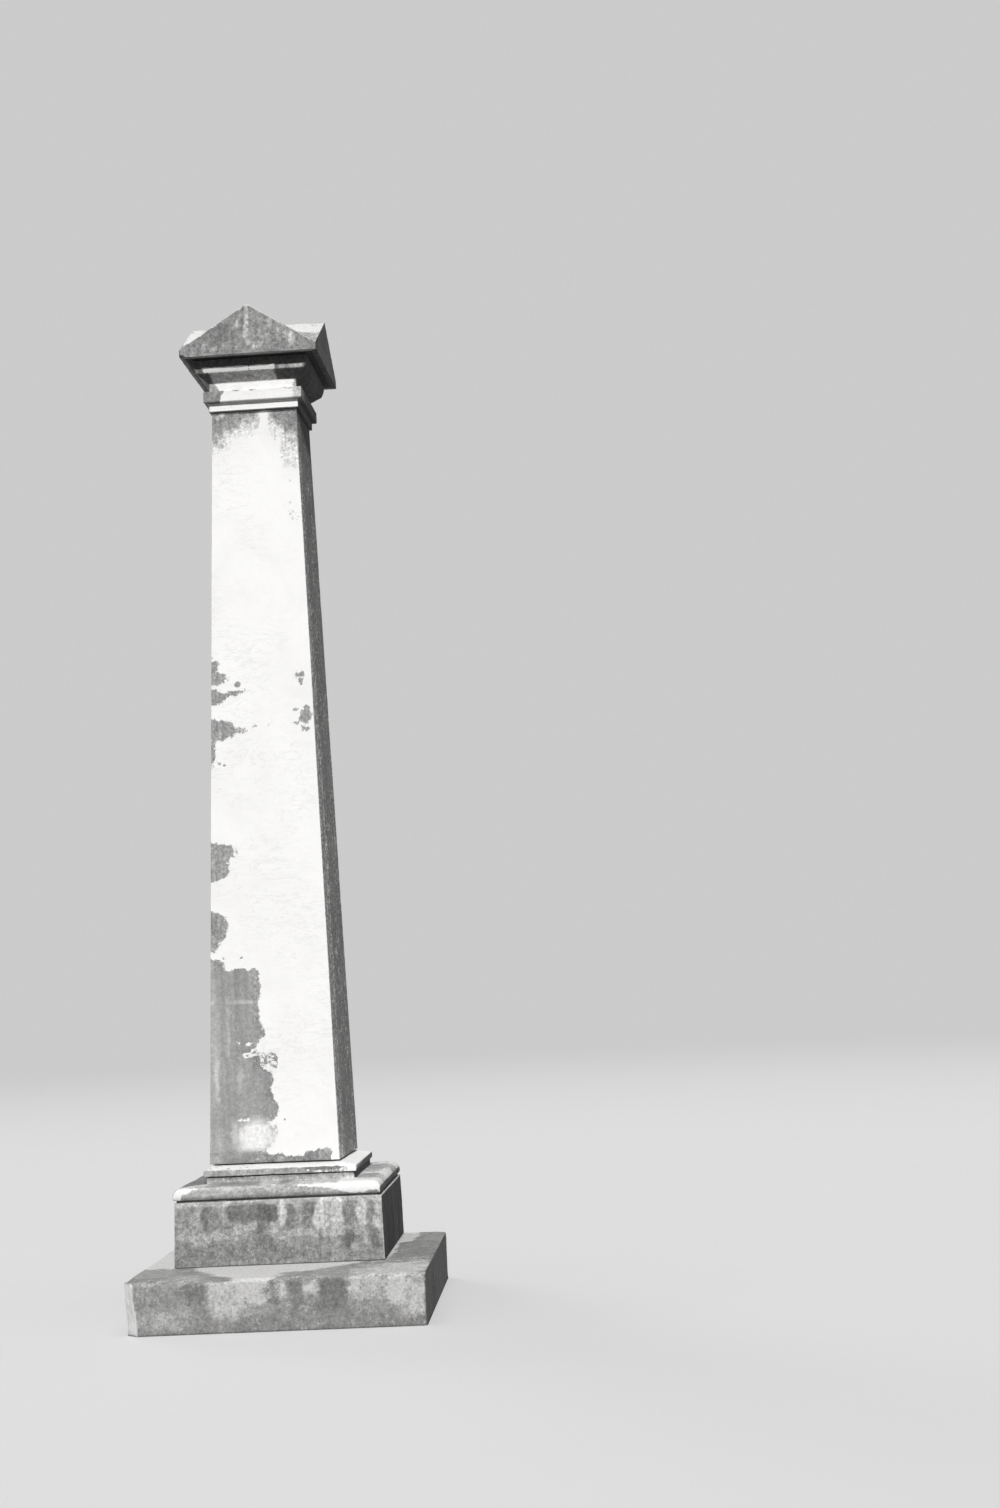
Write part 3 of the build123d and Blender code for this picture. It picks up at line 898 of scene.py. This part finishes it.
def shaft():
    s = Stone("shaft")
    half, foot, top = s.half, s.foot, s.top
    upper = SHAFT_TOP_WIDTH / 2
    s.lay(((half, foot, 1.6, 120), (upper, top, 1.4, 7.2)), (104, 46, 32, 42), 2.4, step=90)
    s.roughen(((0.8, 260, 91), (0.25, 26, 92)), 2.0, s.off_levels())
    s.wear_corners((1.3, 1.8, 70), 93)
    s.chip(s.uprights(half, foot, upper, top), 40, (6, 20), 94)
    s.chip(s.level(half, foot, -1), 10, (6, 16), 95)

    x, y, z, ragged, coarse, waved, speckled = s.start_painting(
        (30, 96, 4), (130, 97), (30, 98, 4), (20, 102, 5))
    xr, zr = x + 10 * ragged, z + 10 * waved
    edge = np.interp(zr, *zip(*GROWTH_EDGE))
    lobe = 0.5 + np.minimum(42 - np.abs(xr + 22), 28 - np.abs(zr - 900)) / 14
    band = foot + 32 + 18 * s.streaks(30, 200, 99)
    band += np.interp(x, (-244, -4, 76, 186, 212), (4, 2, -6, 6, -8))
    front = np.maximum.reduce((
        0.5 + (edge - xr) / 20, blobs(xr, zr, SHAFT_PATCHES, 18),
        blobs(x + 3 * ragged, z, SHAFT_SPECKS, 8), np.minimum(lobe, 0.62) - 0.12,
        0.5 + np.minimum(band - z, 208 - x + 14 * ragged) / 12))
    bare = softly(blobs(xr, z, BARE_PATCHES, 8))
    front = front * (1 - bare) + 0.36 * bare
    low_part = smooth(690 - z, 0, 40) * smooth(x, -150, -90) * smooth(z, foot + 30, foot + 60)
    front -= low_part * smooth(ragged, -0.6, 0.2) * np.clip(front - 0.42, 0, 1)

    # Under the neck the growth is mottled and thins out downward
    depth = top - z
    reach = np.interp(x + 10 * ragged, *zip(*NECK_GROWTH))
    under_neck = 0.66 + (reach - depth) / 90 + 0.55 * ragged + 0.35 * speckled
    under_neck -= softly(blobs(x + 8 * ragged, z + 5 * ragged, NECK_GAPS, 16))
    thick = smooth(under_neck, 0.45, 0.9)
    veil = smooth(x + 16 * ragged, 82, 124) * smooth(z + 30 * ragged, 3110, 3210)
    faded = 0.42 * smooth(x, 96, 150) * smooth(z, 3060, 3240) + 0.12 * speckled
    smudge = 0.34 * softly(blob(x + 20 * ragged, z + 10 * ragged, 142, 2955, 40, 34, 40))
    covered = np.maximum.reduce((under_neck, faded, 1.4 * veil))
    front = np.maximum.reduce((front, np.where(z > 2960, covered, 0), smudge))
    front_shade = (0.305 + 0.03 * coarse) * (1 + 0.13 * s.streaks(12, 300, 100))
    front_shade = touches(front_shade, xr, z, THIN_PATCHES, 12)
    neck_shade = 0.28 + 0.05 * ragged - 0.04 * smooth(x, 60, 140)
    neck_shade += 0.48 * (1 - smooth(under_neck, 0.5, 1.3))
    neck_shade += (0.8 - 0.24 * smooth(z, 3170, 3310) - neck_shade) * veil * (1 - thick)
    front_shade = np.where(z > 3000, neck_shade, front_shade)
    front_shade = np.where(z < foot + 44, np.minimum(front_shade, 0.27 + 0.1 * ragged), front_shade)
    front_shade += 0.07 * smooth(-x, 176, 206) * smooth(1240 - z, 0, 60)
    front_shade += 0.3 * low_part * smooth(ragged, -0.5, 0.4)

    # The large growth is smooth inside, with dark specks along its edge and a soft pale foot
    inside = smooth(edge - xr, 6, 40)
    front_rough = np.where(z < 1240, 1 - 0.55 * inside, 1.0)
    front_shade *= 1 - 0.22 * (1 - inside) * smooth(960 - z, 0, 30) * smooth(z, 690, 720)
    pale_foot = softly(blob(x + 14 * ragged, z + 14 * coarse, -66, 622, 66, 56, 60))
    pale_foot *= smooth(z, foot + 30, foot + 60)
    front = np.maximum(front, 1.5 * pale_foot)
    front_shade += (0.8 - front_shade) * pale_foot
    front_rough *= 1 - 0.6 * pale_foot

    # The right face is covered with streaked grey growth, painted darker than the front and darker
    # toward the top, partly as painted shade where the key lamp only grazes it
    runs = s.streaks(26, 420, 101)
    right_y = y - s.centre[1]
    strip = smooth(-right_y, 60, 110)
    high_part = smooth(z, 2000, 3300)
    right = 0.7 - 0.1 * strip + 0.14 * ragged + 0.16 * runs + 0.08 * high_part
    right_shade = 0.225 + 0.08 * runs + 0.03 * coarse + 0.04 * strip - 0.05 * high_part
    # A wedge at the back of the right face under the neck is painted darker still: painted shade
    painted_shade_wedge = smooth((right_y / upper + 1) / 2 - 0.1 - depth / 150, -0.1, 0.1)
    right_shade *= 1 - 0.72 * painted_shade_wedge
    width_here = upper + (half[0] - upper) * depth / (top - foot)
    right = right + 0.5 * painted_shade_wedge - 0.3 * smooth(-right_y - width_here + 24, 0, 14)
    left = 0.62 + 0.55 * coarse + 0.35 * runs + 0.2 * ragged
    back = 0.8 + 0.55 * coarse + 0.3 * runs
    s.growth = s.by_face(front, right, back, left)
    other_shade = 0.34 + 0.07 * coarse + 0.07 * runs
    s.shade = s.by_face(front_shade, right_shade, other_shade, other_shade)
    s.rough = s.by_face(front_rough, 1.0, 1.0, 1.0)
    s.grime = 0.35 * smooth(foot + 6 - z + 4 * ragged, 0, 7)
    s.grime += 0.3 * smooth(z - top + 5 + 5 * ragged, 0, 8)
    s.finish()


# Neck
def neck():
    s = Stone("neck_band")
    low, foot, top, band = s.low, s.foot, s.top, s.half[0]
    split = foot + NECK_FILLET_HEIGHT
    s.lay(((NECK_FILLET, foot, 0.8, 90), (NECK_FILLET, split, 1.5, 3.6), (band, split, 5, 3.6),
           (band, top, 2.0, 3.6)), (96, 70, 50, 70), 3, step=40)
    s.roughen(((0.6, 80, 111), (0.3, 14, 112)), 0.4, s.off_beds(3))
    s.wear_corners((1.8, 2.6, 40), 113)
    s.wear_level(band, top, 1, (1.0, 2.0, 40), 114)
    s.wear_level(band, split, -1, (0.8, 1.6, 40), 115)
    s.chip(s.level(band, top, 1), 8, (5, 13), 116)
    s.chip(s.level(band, split, -1), 10, (5, 14), 117)

    x, y, z, mottled, wide = s.start_painting((22, 118, 4), (80, 119))
    rise = np.clip(z - split, 0, None)
    left_end = 0.5 + (-x - 126 + 16 * (rise / 44) ** 2 + 5 * mottled) / 10
    right_end = 0.5 + (x - 156 + 6 * mottled) / 26
    below = 0.5 + (-x - 176 + 10 * mottled) / 16
    marks = blobs(x, z, ((-59, top, 16, 5), (4, top, 14, 6), (138, top - 1, 22, 6)), 8)
    front = np.where(z < split - 1, below, np.maximum(left_end, right_end))
    front = np.maximum(front, marks)
    other = 0.62 + 0.7 * wide + 0.3 * mottled
    s.growth = s.by_face(front, 1.0, other + 0.15, other)
    front_shade = np.where(x > 0, 0.55, 0.24) + 0.06 * mottled
    # The right face is painted near black, lighter on the band toward its front: painted shade
    # where the key lamp only grazes it
    right_shade = 0.24 * smooth(low[1] + 110 - y, 0, 90) * smooth(z, split - 2, split)
    s.shade = s.by_face(front_shade, 0.09 + 0.03 * wide + right_shade, 0.32 + 0.08 * wide)
    # A dark band along the band's underside: painted shade under the band
    s.grime = 0.35 * smooth(z, split - 2, split) * (1 - smooth(z, split + 1, split + 3))
    s.finish()


# Bed mould, with patches of shade on its fillet
MOULD_TOUCHES = ((124, 72, 12, 8, 0.5), (146, 72, 6, 8, 0.4), (180, 72, 24, 11, 0.6))


def bed_mould():
    s = Stone("bed_mould")
    foot, top, half = s.foot, s.top, s.half[0]
    neck_top = foot + MOULD_NECK_HEIGHT
    cyma = [(MOULD_NECK + out, neck_top + up, rounding, 3.4) for out, up, rounding in CYMA]
    s.lay(((MOULD_NECK, foot, 1.2, 90), (MOULD_NECK, neck_top, 2.5, 3.4), *cyma,
           (half, top, 1.6, 3.4)), (100, 76, 54, 76), 2.6, step=90)
    s.roughen(((0.6, 80, 121), (0.3, 14, 122)), 0.4, s.off_beds(3))
    s.wear_corners((1.4, 2.2, 40), 123)
    arris = MOULD_NECK_HEIGHT + CYMA[0][1]
    s.chip(s.level(half, foot + arris + 3, -1), 12, (5, 14), 124)
    s.chip(s.uprights(half, foot + arris, half, top), 5, (5, 14), 125)

    x, _, z, mottled, wide = s.start_painting((20, 126, 4), (80, 127))
    height = z - foot
    fillet = smooth(height, arris - 3, arris + 3)
    cyma = smooth(height, 31, 34) * (1 - fillet)
    fillet_growth = np.interp(x, (-190, -178, 88, 100), (0.9, 0.1, 0.1, 0.95)) + 0.15 * mottled
    fillet_growth += 0.7 * smooth(-np.abs(x + 7 + mottled), -4, -1)
    # Under the cap the upper fillet is fully covered by growth, for the painted shadow set below
    fillet_growth = np.maximum(fillet_growth, 0.5 + (height - 83 + 2 * mottled) / 3)
    neck_growth = np.maximum(-x - 130 - 0.5 * height, x - 160) / 12 + 0.5 + 0.4 * mottled
    front = cyma + fillet * fillet_growth + (1 - cyma - fillet) * neck_growth
    # The cyma is darker toward its right end, and darker at its left end as painted shadow
    cyma_shade = 0.5 - 0.41 * smooth(x + 0.2 * (height - 31) + 4 * mottled, 90, 104)
    cyma_shade -= 0.4 * smooth(-x - 0.35 * (height - 31), 146, 156)
    cyma_shade -= 0.1 * softly(blob(x, height, -6, 44, 9, 18, 8))
    fillet_shade = 0.24 + 0.1 * mottled
    fillet_shade = touches(fillet_shade, x, height, MOULD_TOUCHES, 6)
    # The upper fillet is painted near black: painted shadow of the cap, over a dark crust
    fillet_shade += (0.1 - fillet_shade) * smooth(height, 78, 82)
    front_shade = cyma * cyma_shade + fillet * fillet_shade + (1 - cyma - fillet) * 0.34
    other = 0.7 + 0.6 * wide + 0.3 * mottled
    s.growth = s.by_face(front, 1.0, other + 0.1, np.maximum(other, cyma))
    # The right face is painted near black and the left face darker on the cyma: painted shade
    side_shade = 0.28 + 0.07 * wide - 0.06 * cyma
    s.shade = s.by_face(front_shade, 0.08 + 0.03 * wide, side_shade, side_shade - 0.1 * cyma)
    # A dark band at the top, under the cap's soffit: painted shade
    s.grime = 0.25 * smooth(height - 109, 0, 4)
    s.finish()


# Cap: upright gables, then two roofs that cross. Each ring of the roof dips at its corners,
# which gives the valleys, and keeps its height at the middle of each side, which gives the ridges
CAP_SOFFIT = (CORE, 110, 190, 222, 240, 252)
CAP_WALL_ROWS = 40
CAP_ROOF_ROWS = 60
CAP_TOUCHES = (
    (-120, 3650, 60, 60, 0.2), (40, 3660, 60, 60, 0.26), (-36, 3700, 5, 14, 0.46),
    (38, 3612, 18, 14, 0.4), (62, 3626, 7, 24, 0.38), (174, 3630, 12, 30, 0.47),
    (124, 3650, 6, 32, 0.36), (144, 3622, 12, 34, 0.2), (152, 3650, 7, 20, 0.36),
    (100, 3620, 14, 24, 0.24), (-160, 3622, 16, 20, 0.27), (-205, 3618, 18, 14, 0.27),
    (-128, 3606, 10, 10, 0.34), (-58, 3652, 12, 26, 0.22), (-84, 3612, 16, 12, 0.3),
    (-44, 3602, 6, 10, 0.4), (216, 3612, 30, 16, 0.25), (8, 3632, 10, 20, 0.38),
    (-12, 3620, 8, 16, 0.24), (88, 3700, 12, 18, 0.37))
# The pale drip down from the apex, between two lines of (z, x)
DRIP_LEFT = ((3608, 2), (3618, -5), (3640, -7), (3650, -14), (3688, -13), (3698, -7), (3774, -5))
DRIP_RIGHT = ((3608, 3), (3618, 3), (3640, 3), (3655, 5), (3688, 4), (3698, 6), (3774, 8))


def cap():
    s = Stone("gabled_cap")
    centre, foot, top, width = s.centre, s.foot, s.top, s.half[0]
    eave = foot + FASCIA
    rise = top - eave
    halves = [*CAP_SOFFIT, *[width] * (CAP_WALL_ROWS + 1)]
    halves += [max(width * (1 - row / CAP_ROOF_ROWS) ** 1.1, 0.6)
               for row in range(1, CAP_ROOF_ROWS + 1)]
    s.cover(np.array([(*centre, h, h, foot) for h in halves]), (112, 96, 72, 96), 3)
    p = s.p
    height = 1 - np.abs(p[..., :2] - centre).min(axis=-1) / width
    forward = np.clip((centre[1] - p[..., 1]) / width, 0, 1)
    crown = height * (1 - height)
    roof = eave + rise * height + 3 * crown + forward * (5 * height + 4 * crown)
    rows = np.arange(len(halves))[:, None] - len(CAP_SOFFIT)
    p[..., 2] = foot + (roof - foot) * np.clip(rows / CAP_WALL_ROWS, 0, 1)

    # The verge and the foot of the walls are rounded by wear
    s.roughen(((0.7, 110, 131), (0.4, 16, 132)), 0.6)
    slope = math.atan2(rise, width)
    edges = []
    for face, (out, along) in enumerate(SIDES):
        apex = np.array((*(centre + out * width), top))
        for side in (-along, along):
            eave_end = (*(centre + (out + side) * width), eave)
            upward = np.array((*(side * math.sin(slope)), math.cos(slope)))
            way = upward + (*out, 0)
            edges.append((apex, eave_end, way))
            rub(p, way, s.past(out, width) + (p - apex) @ upward, (0.8, 1.6, 40), 133 + face,
                (p[..., :2] - centre) @ side > -4)
    s.wear_level(width, foot, -1, (1.4, 2.4, 44), 141)
    s.ring = np.array([(*centre, width, width, foot)])
    s.wear_corners((2.6, 3.0, 40), 145)
    s.chip(edges, 26, (6, 20), 146)
    s.chip(s.level(width, foot, -1), 22, (6, 22), 147)
    bite(p, (s.low[0] + 12, s.low[1], foot), (-0.6, -1, -1), 7, 26)
    np.clip(p[..., 2], foot, None, out=p[..., 2])

    x, y, z, mottled, wide, flecks = s.start_painting((24, 148, 4), (90, 149), (11, 151, 4))
    runs = s.streaks(22, 180, 150)
    soffit = rows < 0
    upright = (rows >= -1) & (rows <= CAP_WALL_ROWS) & (s.up < 0.6)
    across = x + 5 * mottled + 3 * flecks
    front = touches(0.25 + 0.02 * wide, across, z + 6 * mottled, CAP_TOUCHES, 8)
    front += (0.48 - front) * softly(between(x + 2 * mottled, z, DRIP_LEFT, DRIP_RIGHT, 5))
    front *= 1 + 0.2 * mottled + 0.2 * flecks
    front += 0.12 * smooth(foot + 8 - z + 3 * mottled, 0, 6)
    # A paler line along the right verge: a worn arris and a painted highlight
    front += 0.34 * smooth(x, 0, 20) * smooth(5 - roof + z, 0, 3)
    # The right faces are painted dark: partly painted shade where the key lamp only grazes them
    right = 0.1 + 0.03 * wide + 0.04 * runs
    other = 0.28 + 0.07 * wide + 0.07 * runs
    valley = np.abs(np.abs(p[..., 0] - centre[0]) - np.abs(y - centre[1]))
    near_valley = smooth(90 - np.abs(np.abs(x) - np.abs(y - centre[1])), 0, 50)
    to_front = smooth(centre[1] - y, 0, 60)
    roof_growth = 0.2 + 0.35 * wide + 0.25 * mottled + 0.45 * smooth(3716 - z, 0, 40)
    roof_growth -= 0.5 * smooth(-x, 0, 60) * to_front
    roof_growth += 0.45 * softly(blob(x, z, 188, 3668, 58, 26, 24)) * to_front
    near_valley = (0.75 + 0.5 * mottled) * near_valley * smooth(3736 - z, 0, 30)
    s.growth = np.where(upright | soffit, 1.0, np.maximum(roof_growth, near_valley))
    # The soffit is painted near black: painted shade under the cap's overhang, over a dark crust
    s.shade = np.where(soffit, 0.015, 0.36 + 0.1 * mottled)
    s.shade = np.where(upright, s.by_face(front, right, other), s.shade)
    valley_grime = 0.31 + 0.32 * smooth(6 * mottled - valley, -16, 0)
    s.grime = np.where(upright | soffit, 0.0, valley_grime)
    s.finish()


# Mortar beds, ragged at their edges
def bed(node, seed):
    s = Stone(node)
    s.lay(((s.half, s.foot, 0, 200), (s.half, s.top, 0, 1.6)), (90, 80, 60, 80), 3, step=200)
    p, width = s.p, s.half[0]
    edge = smooth(np.abs(p[..., :2] - s.centre).max(axis=-1), width - 4, width - 1)
    p[..., :2] -= s.arc * (edge * (1.5 + 2.2 * fractal(p, 22, seed, 4)))[..., None]
    s.start_painting()
    s.finish("mortar")


for build in (slab, die, moulding, plinth, shaft, neck, bed_mould, cap):
    build()
for number, name in enumerate(("slab_bed", "die_bed", "moulding_bed", "plinth_bed", "shaft_bed",
                               "neck_bed", "cap_bed")):
    bed(name, 200 + 10 * number)


# Floor and backdrop
def stage_floor():
    s = Shader(bpy.data.materials.new("studio_floor"))
    seen = s.seen()
    colour = s.mix(s.noise(900, 3, 0.5), grey(FLOOR_COLOUR), grey(FLOOR_COLOUR * 0.985))
    s.finish(s.mix(seen, grey(FLOOR_BOUNCE), colour), 0.95, 0.0)
    distance = s.add("ShaderNodeVectorMath", "Value", {"operation": "LENGTH"}, i0=s.place)
    glow = s.add("ShaderNodeEmission", 0, Color=grey(BACKDROP))
    s.end(s.times(s.step(distance, *FLOOR_FADE), seen), s.surface.outputs[0], glow)
    mesh = bpy.data.meshes.new("studio_floor")
    around = np.linspace(0, 2 * math.pi, 64, endpoint=False)
    rim = [(FLOOR_REACH * math.cos(a), FLOOR_REACH * math.sin(a), 0.0) for a in around]
    mesh.from_pydata(rim, [], [tuple(range(len(rim)))])
    mesh.materials.append(s.owner)
    floor = add_object("studio_floor", mesh)


def sky():
    world = bpy.data.worlds.new("studio")
    bpy.context.scene.world = world
    s = Shader(world)
    light = s.add("ShaderNodeBackground", 0, Color=grey(1.0), Strength=SKY)
    shown = s.add("ShaderNodeBackground", 0, Color=grey(BACKDROP))
    s.end(s.seen(), light, shown)


def sun(name, from_left, height, strength, softness):
    """A lamp from the front, turned to the left, at a height in degrees."""
    light = bpy.data.lights.new(name, "SUN")
    light.energy, light.angle = strength, math.radians(softness)
    a, e = math.radians(from_left), math.radians(height)
    toward = Vector((-math.sin(a) * math.cos(e), -math.cos(a) * math.cos(e), math.sin(e)))
    add_object(name, light).rotation_euler = toward.to_track_quat("Z", "Y").to_euler()


def camera():
    yaw, pitch, roll = (math.radians(v) for v in (CAMERA_YAW, CAMERA_PITCH, CAMERA_ROLL))
    level = Vector((math.sin(yaw), math.cos(yaw), 0)) * math.cos(pitch)
    forward = level + Vector((0, 0, math.sin(pitch)))
    right = forward.cross(Vector((0, 0, 1))).normalized()
    up = right.cross(forward)
    across = right * math.cos(roll) + up * math.sin(roll)
    upright = up * math.cos(roll) - right * math.sin(roll)
    data = bpy.data.cameras.new("camera")
    data.lens, data.sensor_width, data.sensor_fit = CAMERA_LENS, FILM_WIDTH, "AUTO"
    data.clip_start, data.clip_end = 0.1, 300.0
    cam = add_object("camera", data)
    turn = Matrix((across, upright, -forward)).transposed().to_4x4()
    cam.matrix_world = Matrix.Translation(Vector(CAMERA_PLACE) * MM) @ turn
    bpy.context.scene.camera = cam


stage_floor()
sky()
sun("key", SUN_FROM_LEFT, SUN_HEIGHT, SUN_STRENGTH, SUN_SOFTNESS)
sun("top_fill", 0, 88, TOP_LIGHT, 50)
sun("back_fill", 140, 8, BACK_LIGHT, 30)
camera()
bpy.context.scene.view_settings.view_transform = "Standard"
